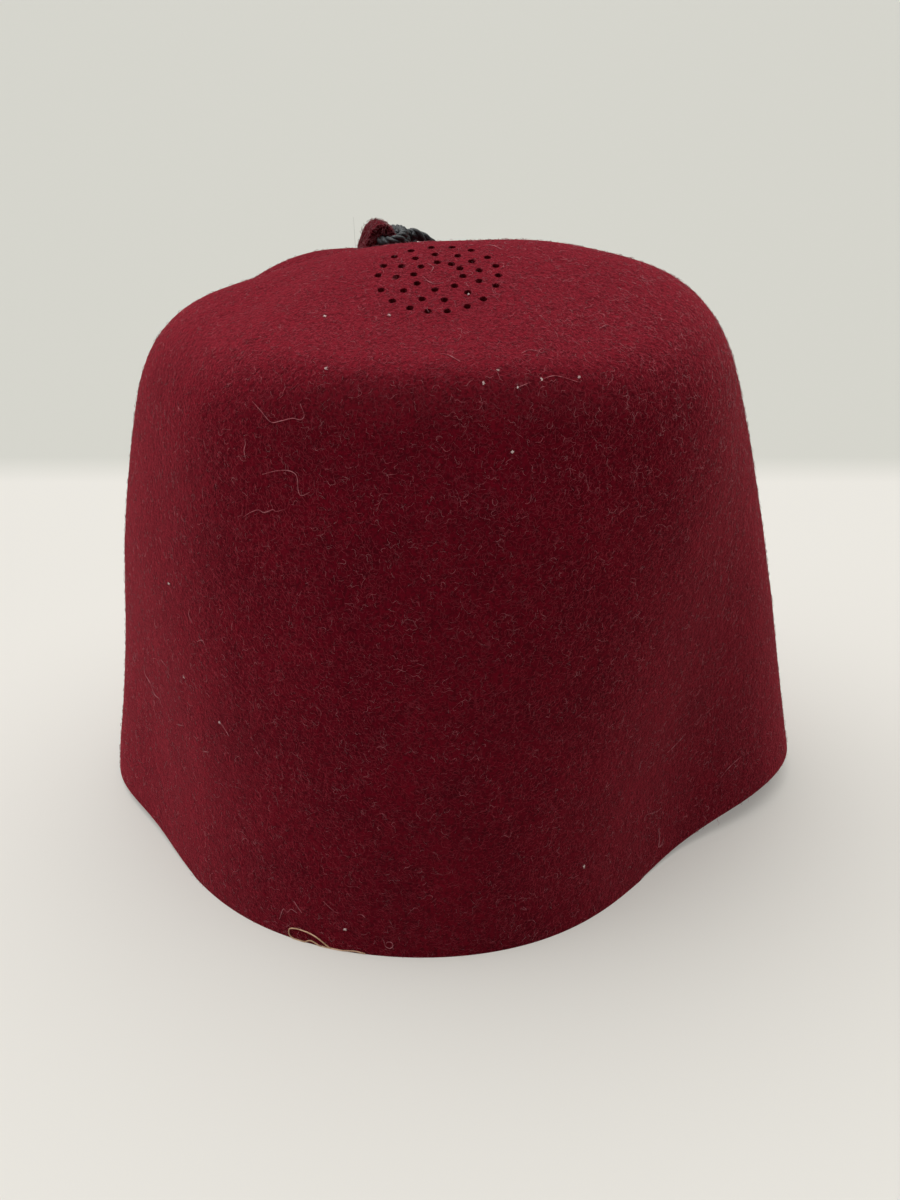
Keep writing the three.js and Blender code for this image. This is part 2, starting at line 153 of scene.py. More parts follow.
class FezStageSettings(bpy.types.PropertyGroup):
    floor: colour_property("Floor", "Colour of the table", "AFADA8")
    backdrop: colour_property("Backdrop", "Colour of the sheet behind the table", "9D9D97")
    # The glow is painted light from the board itself, which lifts the shadows on the table.
    glow: FloatProperty(name="Glow", description="Light that comes up through the table", default=0.6)
    lens: FloatProperty(name="Lens", description="Focal length of the camera", unit="CAMERA", default=52)
    overhead: FloatProperty(name="Overhead", description="Strength of the light from above", default=3.3)
    window: FloatProperty(name="Window", description="Strength of the light from the left", default=1.2)
    sky: FloatProperty(name="Sky", description="Strength of the even light from all round", default=0.06)


# ---- modelling helpers --------------------------------------------------------


def deselect():
    bpy.ops.object.select_all(action="DESELECT")


def make_active(obj):
    deselect()
    obj.select_set(True)
    bpy.context.view_layer.objects.active = obj


def start_editing(obj, element="VERT"):
    make_active(obj)
    bpy.ops.object.mode_set(mode="EDIT")
    bpy.ops.mesh.select_mode(type=element)
    bpy.ops.mesh.select_all(action="DESELECT")


def stop_editing():
    bpy.ops.object.mode_set(mode="OBJECT")


def pick(obj, elements, test):
    """Selects the verts, edges or faces of a piece in edit mode that pass a test, and only those."""
    bpy.ops.mesh.select_all(action="DESELECT")
    mesh = bmesh.from_edit_mesh(obj.data)
    for element in getattr(mesh, elements):
        if test(element):
            element.select_set(True)
    bmesh.update_edit_mesh(obj.data)


def apply_modifier(obj, kind, **settings):
    make_active(obj)
    modifier = obj.modifiers.new(kind.title(), kind)
    for name, value in settings.items():
        setattr(modifier, name, value)
    bpy.ops.object.modifier_apply(modifier=modifier.name)


def copy_of_node(node, name):
    """A piece with the frame's shape, its loose triangles merged into one skin."""
    piece = bpy.data.objects.new(name, frame["nodes"][node].data.copy())
    bpy.context.collection.objects.link(piece)
    piece.data.materials.clear()
    start_editing(piece)
    bpy.ops.mesh.select_all(action="SELECT")
    bpy.ops.mesh.remove_doubles(threshold=0.002 * MM)
    stop_editing()
    return piece


def finish_piece(piece, material, slot, *nodes):
    """Gives a piece its material, puts it on the frame's first body and hides the frame's nodes that it stands for."""
    piece.data.materials.clear()
    piece.data.materials.append(material)
    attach(piece, next(iter(frame["bodies"])))
    if nodes:
        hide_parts(*nodes)
    return piece


def unit(vectors):
    return vectors / np.maximum(np.linalg.norm(vectors, axis=-1, keepdims=True), 1e-12)


def directions(lines, closed=False):
    """Along, side and lift of every point of many lines, without any twist of their own."""
    if closed:
        along = unit(np.roll(lines, -1, axis=1) - np.roll(lines, 1, axis=1))
    else:
        along = unit(np.gradient(lines, axis=1))
    side = np.empty_like(along)
    steady = np.eye(3)[np.argmin(np.abs(along[:, 0]), axis=1)]
    side[:, 0] = unit(np.cross(along[:, 0], steady))
    for i in range(1, lines.shape[1]):
        kept = side[:, i - 1]
        side[:, i] = unit(kept - (kept * along[:, i]).sum(-1, keepdims=True) * along[:, i])
    return along, side, np.cross(along, side)


def tubes(name, lines, radii, sides, closed=False):
    """One mesh of closed tubes along many lines: radii has a value for each line, step and side."""
    lines = np.asarray(lines, float)
    count, steps = lines.shape[:2]
    radii = np.broadcast_to(radii, (count, steps, sides))
    _, side, lift = directions(lines, closed)
    turn = 2 * np.pi * np.arange(sides)[:, None] / sides
    ring = np.cos(turn) * side[:, :, None] + np.sin(turn) * lift[:, :, None]
    points = (lines[:, :, None] + radii[..., None] * ring).reshape(-1, 3)
    index = np.arange(count * steps * sides).reshape(count, steps, sides)
    near, far = (index, np.roll(index, -1, axis=1)) if closed else (index[:, :-1], index[:, 1:])
    quads = np.stack([near, np.roll(near, -1, axis=2), np.roll(far, -1, axis=2), far], -1)
    faces = quads.reshape(-1, 4).tolist()
    if not closed:
        faces += index[:, 0, ::-1].tolist() + index[:, -1].tolist()
    mesh = bpy.data.meshes.new(name)
    mesh.from_pydata(points.tolist(), [], faces)
    mesh.shade_smooth()
    piece = bpy.data.objects.new(name, mesh)
    bpy.context.collection.objects.link(piece)
    return piece


def evenly_spaced(points, step):
    """A smooth line through a few points, with even steps."""
    points = np.asarray(points, float)
    padded = np.vstack([2 * points[0] - points[1], points, 2 * points[-1] - points[-2]])
    before, start, end, after = padded[:-3], padded[1:-2], padded[2:-1], padded[3:]
    t = np.linspace(0, 1, 24, endpoint=False)[:, None, None]
    fine = (
        (2 * t**3 - 3 * t**2 + 1) * start
        + (t**3 - 2 * t**2 + t) * (end - before) / 2
        + (3 * t**2 - 2 * t**3) * end
        + (t**3 - t**2) * (after - start) / 2
    )
    fine = np.vstack([fine.transpose(1, 0, 2).reshape(-1, 3), points[-1:]])
    run = np.concatenate([[0], np.cumsum(np.linalg.norm(np.diff(fine, axis=0), axis=1))])
    at = np.linspace(0, run[-1], round(run[-1] / step) + 1)
    return np.stack([np.interp(at, run, fine[:, k]) for k in range(3)], axis=1)


def twisted(line, diameter, strands, lay, closed=False):
    """Lines of the strands of a cord, wound round its centre line once in each lay."""
    steps = len(line)
    _, side, lift = directions(line[None], closed)
    ends = np.roll(line, -1, axis=0) if closed else np.vstack([line[1:], line[-1:]])
    lengths = np.linalg.norm(ends - line, axis=1)
    run = np.concatenate([[0], np.cumsum(lengths)])[:steps]
    if closed:
        lay = lengths.sum() / max(1, round(lengths.sum() / lay))
    offset = diameter / 2 / (1 + 1 / math.sin(math.pi / strands))
    offset /= math.sin(math.pi / strands)
    turn = 2 * np.pi * (run[None, :] / lay + np.arange(strands)[:, None] / strands)
    return line + offset * (np.cos(turn)[..., None] * side + np.sin(turn)[..., None] * lift), run


def rope(name, line, diameter, lay, closed=False):
    """A twisted cord of three strands, each of them of ridged yarns laid the other way."""
    strands, yarns, sides = 3, 5, 20
    lines, run = twisted(line, diameter, strands, lay, closed)
    radius = diameter / 2 - np.linalg.norm(lines[0] - line, axis=1).mean()
    turn = 2 * np.pi * np.arange(sides) / sides
    whole = run[-1] + (run[1] if closed else 0)
    yarn_turns = max(1, round(whole / (lay * 0.62)))
    wound = 2 * np.pi * yarn_turns * run[:, None] / whole
    ridges = np.abs(np.cos(yarns / 2 * (turn[None, :] + wound)))
    return tubes(name, lines, (radius * (0.86 + 0.2 * ridges))[None], sides, closed)


# ---- materials ----------------------------------------------------------------


def per(millimetres):
    """Scale of a pattern whose features are this wide."""
    return 1 / (millimetres * MM)


def add_node(tree, kind, settings=None, **inputs):
    """Adds a node with its settings and its inputs' values or links; in_3 names the input numbered 3."""
    node = tree.nodes.new(kind)
    for name, value in (settings or {}).items():
        setattr(node, name, value)
    for name, value in inputs.items():
        key = int(name[3:]) if name.startswith("in_") else name.replace("_", " ")
        if isinstance(value, bpy.types.NodeSocket):
            tree.links.new(value, node.inputs[key])
        else:
            node.inputs[key].default_value = value
    return node


def new_material(name):
    """A material with an empty node tree, its shader and its object coordinates."""
    material = bpy.data.materials.new(name)
    material.use_nodes = True
    tree = material.node_tree
    tree.nodes.clear()
    shader = add_node(tree, "ShaderNodeBsdfPrincipled")
    output = add_node(tree, "ShaderNodeOutputMaterial")
    tree.links.new(shader.outputs["BSDF"], output.inputs["Surface"])
    place = add_node(tree, "ShaderNodeTexCoord").outputs["Object"]
    return material, tree, shader, place


def noise(tree, place, millimetres, detail=2.0, roughness=0.5):
    node = add_node(
        tree, "ShaderNodeTexNoise", Vector=place, Scale=per(millimetres), Detail=detail, Roughness=roughness
    )
    return node.outputs["Fac"]


def ramp(tree, value, low, high, start=0.0, end=1.0):
    """The value taken from low..high to start..end, with its ends held."""
    node = add_node(tree, "ShaderNodeMapRange", in_0=value, in_1=low, in_2=high, in_3=start, in_4=end)
    return node.outputs[0]


def arithmetic(tree, operation, first, second=0.0):
    return add_node(tree, "ShaderNodeMath", {"operation": operation}, in_0=first, in_1=second).outputs[0]


def mixed(tree, share, first, second, blend="MIX"):
    settings = {"data_type": "RGBA", "blend_type": blend}
    return add_node(tree, "ShaderNodeMix", settings, in_0=share, in_6=first, in_7=second).outputs[2]


def fibre_lines(tree, place, shift, spacing, width, gaps):
    """Short curly lines, like single fibres lying on the felt: 1 on a fibre and 0 between them."""
    moved = add_node(tree, "ShaderNodeVectorMath", {"operation": "ADD"}, in_0=place, in_1=shift).outputs[0]
    field = noise(tree, moved, spacing, 0.6)
    away = arithmetic(tree, "ABSOLUTE", arithmetic(tree, "SUBTRACT", field, 0.5))
    line = ramp(tree, away, 0.0, width, 1.0, 0.0)
    broken = ramp(tree, noise(tree, moved, spacing * 1.7, 1.0), gaps, gaps + 0.06)
    return arithmetic(tree, "MULTIPLY", line, broken)


def wool_felt(name, deep, dye, crown, settings):
    """Wool felt, dyed in the piece and blocked: matt, mottled, with a short curly nap that catches light at a glance;
    its crown is painted lighter and paler, a painted highlight of the light from above.
    """
    material, tree, shader, place = new_material(name)
    height = add_node(tree, "ShaderNodeSeparateXYZ", Vector=place).outputs["Z"]
    mottle = ramp(tree, noise(tree, place, 13, 3.0, 0.6), 0.25, 0.75)
    colour = mixed(tree, mottle, deep, dye)
    # Painted highlight: from 119 mm up the colour turns towards the paler crown colour, for the light from above on the
    # top.
    colour = mixed(tree, ramp(tree, height, 119 * MM, 134 * MM, 0.0, 0.75), colour, crown)
    grain = noise(tree, place, 0.75, 2.0, 0.7)
    colour = mixed(tree, ramp(tree, grain, 0.56, 0.36, 0.0, 0.6), colour, linear("30040C"))
    matted = fibre_lines(tree, place, (0.07, 0.23, 0.11), 0.9, 0.05, 0.4)
    single = arithmetic(
        tree,
        "MAXIMUM",
        fibre_lines(tree, place, (0.0, 0.0, 0.0), 2.2, 0.018, 0.52),
        fibre_lines(tree, place, (0.31, 0.17, 0.05), 1.6, 0.02, 0.52),
    )
    # Pale fibre lines everywhere, and from 122 mm up a larger share of them: a painted highlight that brightens the
    # crown.
    fibres_and_crown_highlight = ramp(tree, height, 122 * MM, 133 * MM, 0.3, 0.75)
    colour = mixed(tree, arithmetic(tree, "MULTIPLY", matted, fibres_and_crown_highlight), colour, tuple(settings.fibre))
    colour = mixed(tree, arithmetic(tree, "MULTIPLY", single, 0.45), colour, tuple(settings.fibre))
    relief = arithmetic(tree, "ADD", grain, arithmetic(tree, "MULTIPLY", matted, 0.4))
    relief = arithmetic(tree, "ADD", relief, arithmetic(tree, "MULTIPLY", single, 0.4))
    relief = arithmetic(tree, "ADD", relief, noise(tree, place, 3.2, 2.0, 0.6))
    bump = add_node(tree, "ShaderNodeBump", Strength=0.9, Distance=0.6 * MM, Height=relief).outputs[0]
    tree.links.new(colour, shader.inputs["Base Color"])
    tree.links.new(bump, shader.inputs["Normal"])
    shader.inputs["Roughness"].default_value = 0.95
    shader.inputs["Specular IOR Level"].default_value = 0.05
    shader.inputs["Sheen Weight"].default_value = 0.5
    shader.inputs["Sheen Roughness"].default_value = 0.4
    shader.inputs["Sheen Tint"].default_value = tuple(settings.sheen)
    return material


def wool_fibre(name, dark, light, sheen):
    """Loose wool fibres: matt and a little uneven in colour, with a faint sheen at their edges."""
    material, tree, shader, place = new_material(name)
    tone = ramp(tree, noise(tree, place, 1.5, 1.0), 0.35, 0.65)
    tree.links.new(mixed(tree, tone, dark, light), shader.inputs["Base Color"])
    shader.inputs["Roughness"].default_value = 0.9
    shader.inputs["Specular IOR Level"].default_value = 0.2
    shader.inputs["Sheen Weight"].default_value = sheen
    return material


def spun_silk(settings):
    """Black silk, spun and twisted: dark and even, with a soft gloss on its ridges and grey mixed in at random as a
    painted highlight of its ridges.
    """
    material, tree, shader, place = new_material("silk_twisted_black")
    tone = ramp(tree, noise(tree, place, 0.5, 3.0, 0.7), 0.46, 0.66)
    # Painted highlight: grey mixed in at random by noise, standing in for the light on the ridges.
    tree.links.new(mixed(tree, tone, tuple(settings.colour), tuple(settings.ridge_highlight)), shader.inputs["Base Color"])
    rough = ramp(tree, noise(tree, place, 0.3, 2.0), 0.3, 0.7, 0.42, 0.62)
    tree.links.new(rough, shader.inputs["Roughness"])
    bump = add_node(tree, "ShaderNodeBump", Strength=0.5, Distance=0.08 * MM, Height=noise(tree, place, 0.25, 2.0))
    tree.links.new(bump.outputs[0], shader.inputs["Normal"])
    shader.inputs["Sheen Weight"].default_value = 0.12
    shader.inputs["Sheen Roughness"].default_value = 0.4
    return material


def painted_board(name, floor, backdrop, glow):
    """Matt white board, even, that glows a little: painted light that lifts the shadows on it; its colour turns softly
    to the backdrop's where the table would meet the sheet behind it.
    """
    material, tree, shader, place = new_material(name)
    depth = add_node(tree, "ShaderNodeSeparateXYZ", Vector=place).outputs["Y"]
    behind = ramp(tree, depth, FOLD_AT - 14 * MM, FOLD_AT + 14 * MM)
    cloud = ramp(tree, noise(tree, place, 420, 1.0), 0.3, 0.7, 0.0, 0.12)
    colour = mixed(tree, behind, floor, backdrop)
    colour = mixed(tree, cloud, colour, backdrop)
    tree.links.new(colour, shader.inputs["Base Color"])
    tree.links.new(colour, shader.inputs["Emission Color"])
    # The glow is painted light: the board is no lamp.
    shader.inputs["Emission Strength"].default_value = glow
    shader.inputs["Roughness"].default_value = 0.6
    shader.inputs["Specular IOR Level"].default_value = 0.2
    return material


# ---- stage --------------------------------------------------------------------

FOLD_AT = 227 * MM  # how far behind the middle of the hat the floor turns to the backdrop's colour
CAMERA_PLACE = Vector((-0.85, -411.25, 241)) * MM
CAMERA_PITCH = math.radians(25)


class FEZ_OT_stage(bpy.types.Operator):
    """Makes the camera, the pale floor and the soft light"""

    bl_idname = "fez.stage"
    bl_label = "Stage"

    def execute(self, context):
        settings = context.scene.fez_stage
        camera = bpy.data.objects.new("camera", bpy.data.cameras.new("camera"))
        context.collection.objects.link(camera)
        camera.data.lens = settings.lens
        camera.location = CAMERA_PLACE
        camera.rotation_euler = (math.pi / 2 - CAMERA_PITCH, 0, 0)
        camera.data.clip_start = 10 * MM
        context.scene.camera = camera
        self.light(context, "overhead", (0, 0.25, 1.0), settings.overhead, 88, (1.0, 0.985, 0.96))
        self.light(context, "window", (-0.7, 0.1, 0.8), settings.window, 70, (0.97, 0.98, 1.0))
        world = bpy.data.worlds.new("even_light")
        context.scene.world = world
        world.use_nodes = True
        background = world.node_tree.nodes["Background"]
        background.inputs["Color"].default_value = (0.96, 0.98, 1.0, 1.0)
        background.inputs["Strength"].default_value = settings.sky
        context.scene.view_settings.view_transform = "Standard"
        bpy.ops.mesh.primitive_plane_add(size=9, location=(0, 0, 0))
        floor = context.object
        floor.name = "floor"
        floor.data.materials.append(
            painted_board("board_matt_white", tuple(settings.floor), tuple(settings.backdrop), settings.glow)
        )
        return {"FINISHED"}

    def light(self, context, name, place, strength, spread, colour):
        """A wide, even light that falls on the whole table from the direction of a place."""
        lamp = bpy.data.objects.new(name, bpy.data.lights.new(name, "SUN"))
        lamp.data.energy = strength
        lamp.data.color = colour
        lamp.data.angle = math.radians(spread)
        lamp.location = place
        lamp.rotation_euler = (-lamp.location).to_track_quat("-Z", "Y").to_euler()
        context.collection.objects.link(lamp)


# ---- silk cord ------------------------------------------------------------------

CORD_LAY = 9 * MM  # length of one turn of the cord's strands
ROPE_STEP = 0.4 * MM
HITCH = {
    "strand": 2.35 * MM,
    "lay": 5 * MM,
    "turns": 2.5,
    "pitch": 1.7 * MM,
    "tail": [(-9.7, 14.2, 142.9), (-9.2, 14.0, 139.8), (-6.8, 15.4, 137.5), (-3.6, 18.2, 136.6), (-1.5, 21.2, 135.9)],
}


def cord_line():
    return evenly_spaced([AXIS + Vector(point) * MM for point in CORD_ROUTE_MM], ROPE_STEP)


def silk_material():
    return bpy.data.materials.get("silk_twisted_black") or spun_silk(bpy.context.scene.fez_silk)


class FEZ_OT_cord(bpy.types.Operator):
    """Makes the twisted silk cord from the hitch, over the crown and down to the tassel"""

    bl_idname = "fez.cord"
    bl_label = "Cord"

    def execute(self, context):
        diameter = context.scene.fez_silk.cord
        cord = rope("silk_cord", cord_line(), diameter, CORD_LAY)
        finish_piece(cord, silk_material(), "black_silk", "tassel_cord")
        return {"FINISHED"}


class FEZ_OT_hitch(bpy.types.Operator):
    """Makes the turns of cord hitched round the right shoulder of the felt loop"""

    bl_idname = "fez.hitch"
    bl_label = "Hitch"

    def execute(self, context):
        middle, outwards, deep, along = self.ring_axes(frame["nodes"]["cord_hitch"])
        t = np.linspace(0, 1, 40)[:, None]
        turn = math.pi / 2 + 2 * math.pi * (HITCH["turns"] - 0.25) * t
        advance = (t - 0.5) * (HITCH["turns"] - 0.25) * HITCH["pitch"]
        wound = middle + np.cos(turn) * outwards - np.sin(turn) * deep + advance * along
        tail = [AXIS + Vector(point) * MM for point in HITCH["tail"]]
        line = evenly_spaced(np.vstack([wound, tail]), ROPE_STEP)
        hitch = rope("silk_hitch", line, HITCH["strand"], HITCH["lay"])
        finish_piece(hitch, silk_material(), "black_silk", "cord_hitch")
        return {"FINISHED"}

    def ring_axes(self, node):
        """The middle of a ring-shaped node, its half widths to the right and backwards, and its upward axis."""
        points = np.array([corner.co for corner in node.data.vertices])
        middle = (points.max(0) + points.min(0)) / 2
        _, _, axes = np.linalg.svd(points - middle, full_matrices=False)
        axes *= np.sign((axes[0][1], axes[1][0], axes[2][2]))[:, None]
        reach = np.ptp((points - middle) @ axes.T, axis=0) / 2 - HITCH["strand"] / 2
        return middle, axes[1] * reach[1], axes[0] * reach[0], axes[2]


# ---- felt cap -------------------------------------------------------------------

CAGE_SEGMENTS = 76
CAGE_ROWS = 25
CAGE_HIGH = 142 * MM
CAGE_UNDER = 0.5 * MM  # how far under the cut edge the cage's first row starts, so that it lands on the edge
CAGE_RINGS = 8
CAGE_RING_STEP = 5.4 * MM
INSIDE_HEIGHT = 20 * MM  # a point on the axis from which all the outer skin faces away
VENT_SIDES = 14
PUNCH_LENGTH = 14 * MM


class FEZ_OT_felt_cap(bpy.types.Operator):
    """Makes the blocked felt cap: its wall, its crown, its cut rim and its punched vents"""

    bl_idname = "fez.felt_cap"
    bl_label = "Felt cap"

    def execute(self, context):
        settings = context.scene.fez_felt
        skin, rim, vents = self.outer_skin()
        cap = self.cage(rim)
        for relax in (True, True, False):
            apply_modifier(cap, "SHRINKWRAP", target=skin, wrap_method="NEAREST_SURFACEPOINT")
            if relax:
                apply_modifier(cap, "SMOOTH", factor=0.5, iterations=4, vertex_group="above_rim")
        bpy.data.objects.remove(skin)
        apply_modifier(cap, "SUBSURF", levels=2, render_levels=2)
        clouds = bpy.data.textures.new("blocked_by_hand", "CLOUDS")
        clouds.noise_scale = 15 * MM
        apply_modifier(
            cap,
            "DISPLACE",
            texture=clouds,
            strength=settings.unevenness,
            mid_level=0.5,
            vertex_group="above_rim",
            texture_coords="LOCAL",
        )
        apply_modifier(cap, "SOLIDIFY", thickness=settings.thickness, offset=-1)
        self.press_flat(cap)
        self.punch(cap, vents, settings.vent)
        make_active(cap)
        bpy.ops.object.shade_smooth_by_angle(angle=math.radians(50))
        cap.vertex_groups.clear()
        finish_piece(cap, cap_felt(context.scene.fez_felt), "wool_felt", "felt_cap")
        return {"FINISHED"}

    def outer_skin(self):
        """The outer face of the frame's cap as one smooth open sheet, its rim, and the middle of each vent."""
        skin = copy_of_node("felt_cap", "outer_skin")
        inside = AXIS + UP * INSIDE_HEIGHT
        start_editing(skin, "FACE")
        pick(skin, "faces", lambda face: face.normal.dot((face.calc_center_median() - inside).normalized()) < 0.45)
        bpy.ops.mesh.delete(type="FACE")
        *vents, rim = self.openings(bmesh.from_edit_mesh(skin.data))
        vents = [sum(ring, Vector()) / len(ring) for ring in vents]
        bpy.ops.mesh.select_all(action="SELECT")
        bpy.ops.mesh.fill_holes(sides=40)
        bpy.ops.mesh.select_all(action="SELECT")
        bpy.ops.mesh.tris_convert_to_quads(face_threshold=math.radians(60), shape_threshold=math.radians(80))
        stop_editing()
        apply_modifier(skin, "SUBSURF", levels=2, render_levels=2)
        return skin, rim, vents

    def openings(self, mesh):
        """The places of the corners round each opening of a sheet, the shortest opening first."""
        left = {edge for edge in mesh.edges if edge.is_boundary}
        loops = []
        while left:
            loop, todo = set(), [left.pop()]
            while todo:
                edge = todo.pop()
                loop.add(edge)
                near = {e for corner in edge.verts for e in corner.link_edges} & left
                left -= near
                todo += near
            loops.append(loop)
        loops.sort(key=len)
        corners = [{corner for edge in loop for corner in edge.verts} for loop in loops]
        return [[corner.co.copy() for corner in ring] for ring in corners]

    def cage(self, rim):
        """An open quad cage a little larger than the cap, its rows rising with the rim, with a grid over its crown."""
        bpy.ops.mesh.primitive_cone_add(
            vertices=CAGE_SEGMENTS,
            radius1=96 * MM,
            radius2=71 * MM,
            depth=CAGE_HIGH,
            location=AXIS + UP * CAGE_HIGH / 2,
        )
        bpy.ops.object.transform_apply()
        cap = bpy.context.object
        cap.name = cap.data.name = "felt_shell"
        start_editing(cap, "EDGE")
        pick(cap, "edges", lambda edge: abs(edge.verts[0].co.z - edge.verts[1].co.z) > CAGE_HIGH / 2)
        bpy.ops.mesh.subdivide(number_cuts=CAGE_ROWS)
        bpy.ops.mesh.select_mode(type="FACE")
        pick(cap, "faces", lambda face: face.normal.z < -0.9)
        bpy.ops.mesh.delete(type="FACE")
        pick(cap, "faces", lambda face: face.normal.z > 0.9)
        for _ in range(CAGE_RINGS):
            bpy.ops.mesh.inset(thickness=CAGE_RING_STEP)
        bpy.ops.mesh.delete(type="ONLY_FACE")
        bpy.ops.mesh.select_mode(type="EDGE")
        pick(cap, "edges", lambda edge: edge.is_boundary and edge.verts[0].co.z > CAGE_HIGH / 2)
        bpy.ops.mesh.fill_grid(span=CAGE_SEGMENTS // 4)
        bpy.ops.mesh.select_all(action="SELECT")
        bpy.ops.mesh.normals_make_consistent(inside=False)
        stop_editing()
        group = cap.vertex_groups.new(name="above_rim")
        group.add([v.index for v in cap.data.vertices if v.co.z > MM], 1.0, "REPLACE")
        around = sorted((math.atan2(point.y - AXIS.y, point.x - AXIS.x), point.z) for point in rim)
        turns, heights = zip(*around)
        for corner in cap.data.vertices:
            turn = math.atan2(corner.co.y - AXIS.y, corner.co.x - AXIS.x)
            lift = np.interp(turn, turns, heights, period=2 * math.pi) - CAGE_UNDER
            corner.co.z += lift * (1 - min(corner.co.z / CAGE_HIGH, 1))
        return cap

    def press_flat(self, cap):
        """Presses what reaches below the table level with it."""
        start_editing(cap, "VERT")
        pick(cap, "verts", lambda vert: vert.co.z < 0.35 * MM)
        bpy.ops.transform.resize(value=(1, 1, 0), center_override=(0, 0, 0))
        stop_editing()

    def punch(self, cap, vents, diameter):
        """Cuts the vents, square to the crown at the middle of their pattern."""
        middle = sum(vents, Vector()) / len(vents)
        tree = BVHTree.FromObject(cap, bpy.context.evaluated_depsgraph_get())
        upright = UP.rotation_difference(tree.find_nearest(middle)[1]).to_matrix().to_4x4()
        bpy.ops.mesh.primitive_cone_add(
            vertices=VENT_SIDES, radius1=diameter / 2 * 0.9, radius2=diameter / 2 * 1.1, depth=PUNCH_LENGTH
        )
        first = bpy.context.object
        punches = []
        for centre in vents:
            punch = bpy.data.objects.new("punch", first.data.copy())
            bpy.context.collection.objects.link(punch)
            punch.data.transform(Matrix.Translation(centre) @ upright)
            punches.append(punch)
        bpy.data.objects.remove(first)
        make_active(punches[0])
        for punch in punches:
            punch.select_set(True)
        bpy.ops.object.join()
        apply_modifier(cap, "BOOLEAN", object=punches[0], operation="DIFFERENCE", solver="EXACT")
        bpy.data.objects.remove(punches[0])


def cap_felt(settings):
    return wool_felt("wool_felt_blocked", tuple(settings.deep), tuple(settings.colour), tuple(settings.crown), settings)


def strip_felt(settings):
    shade = tuple(settings.strip)
    # The loop's felt is a darker copy of the cap's felt, deep colour and all: painted shade.
    return wool_felt("wool_felt_strip", linear("3E0710"), shade, shade, settings)


class FEZ_OT_crown_loop(bpy.types.Operator):
    """Makes the upright loop of thick felt on the crown"""

    bl_idname = "fez.crown_loop"
    bl_label = "Crown loop"

    def execute(self, context):
        loop = copy_of_node("crown_loop", "felt_loop")
        apply_modifier(loop, "REMESH", mode="VOXEL", voxel_size=0.35 * MM)
        apply_modifier(loop, "SMOOTH", factor=0.5, iterations=6)
        clouds = bpy.data.textures.new("felt_cut_edge", "CLOUDS")
        clouds.noise_scale = 1.6 * MM
        apply_modifier(loop, "DISPLACE", texture=clouds, strength=0.35 * MM, mid_level=0.5, texture_coords="LOCAL")
        make_active(loop)
        bpy.ops.object.shade_smooth()
        finish_piece(loop, strip_felt(context.scene.fez_felt), "wool_felt", "crown_loop")
        return {"FINISHED"}


# ---- tassel ---------------------------------------------------------------------


TASSEL_TOP = AXIS + Vector((2.55, 81.7, 94.7)) * MM
TASSEL_SLOPE = math.radians(8.8)
# Half widths across and through the tassel, at each distance down from its top.
HEAD_PROFILE = [(0, 2.4, 2.4), (1.6, 4.0, 4.0), (4.5, 5.0, 5.0), (8.0, 5.0, 5.0), (10.5, 4.2, 4.2)]
BAND_PROFILE = [(10.8, 4.3, 4.3), (12.9, 4.75, 4.75), (15.0, 4.3, 4.3)]
SKIRT_PROFILE = [
    (15.3, 4.2, 4.0),
    (20.3, 6.2, 4.5),
    (31.3, 8.2, 4.6),
    (51.3, 10.2, 4.6),
    (71.3, 12.0, 4.4),
    (85.3, 13.0, 4.0),
]
BAND_TURNS = 6


def tassel_lines(profile, turns, rows, depth, inwards):
    """Lines down the tassel at the given turns round it, inset from a profile by a share and a depth."""
    down = np.array((0, math.sin(TASSEL_SLOPE), -math.cos(TASSEL_SLOPE)))
    side = np.array((1.0, 0, 0))
    out = np.cross(down, side)
    table = np.array(profile) * MM
    at = np.linspace(table[0, 0], table[-1, 0], rows)
    across, thick = (np.interp(at, table[:, 0], table[:, k]) * inwards - depth for k in (1, 2))
    return np.array(TASSEL_TOP) + at[:, None] * down + (
        (np.cos(turns) * across)[..., None] * side + (np.sin(turns) * thick)[..., None] * out
    )


def joined(name, *pieces):
    make_active(pieces[0])
    for piece in pieces:
        piece.select_set(True)
    bpy.ops.object.join()
    pieces[0].name = pieces[0].data.name = name
    return pieces[0]


class FEZ_OT_tassel_head(bpy.types.Operator):
    """Makes the tassel's head, wound lengthwise with silk thread, and the band tied under it"""

    bl_idname = "fez.tassel_head"
    bl_label = "Tassel head and band"

    def execute(self, context):
        radius = context.scene.fez_silk.thread / 2
        around = 2 * np.pi * np.arange(40)[:, None] / 40
        slant = np.linspace(0, 0.5, 22)
        threads = tubes("threads", tassel_lines(HEAD_PROFILE, around + slant, 22, radius, 1.0), radius, 6)
        core = self.core("core", HEAD_PROFILE, radius)
        finish_piece(joined("wound_head", core, threads), silk_material(), "black_silk", "tassel_head")
        rows = BAND_TURNS * 24
        winding = tassel_lines(BAND_PROFILE, np.linspace(0, 2 * np.pi * BAND_TURNS, rows)[None], rows, radius, 1.0)
        band = joined("band_winding", self.core("core", BAND_PROFILE, radius), tubes("turns", winding, radius, 8))
        finish_piece(band, silk_material(), "black_silk", "tassel_band")
        cord_line()
        return {"FINISHED"}

    def core(self, name, profile, inset):
        """The solid stuffing under a winding."""
        middle = tassel_lines([(down, 0, 0) for down, _, _ in profile], np.zeros((1, 1)), 16, 0, 0.0)
        at = np.linspace(profile[0][0], profile[-1][0], 16)
        width = np.interp(at, [row[0] for row in profile], [row[1] for row in profile]) * MM - inset
        return tubes(name, middle, width[None, :, None], 24)


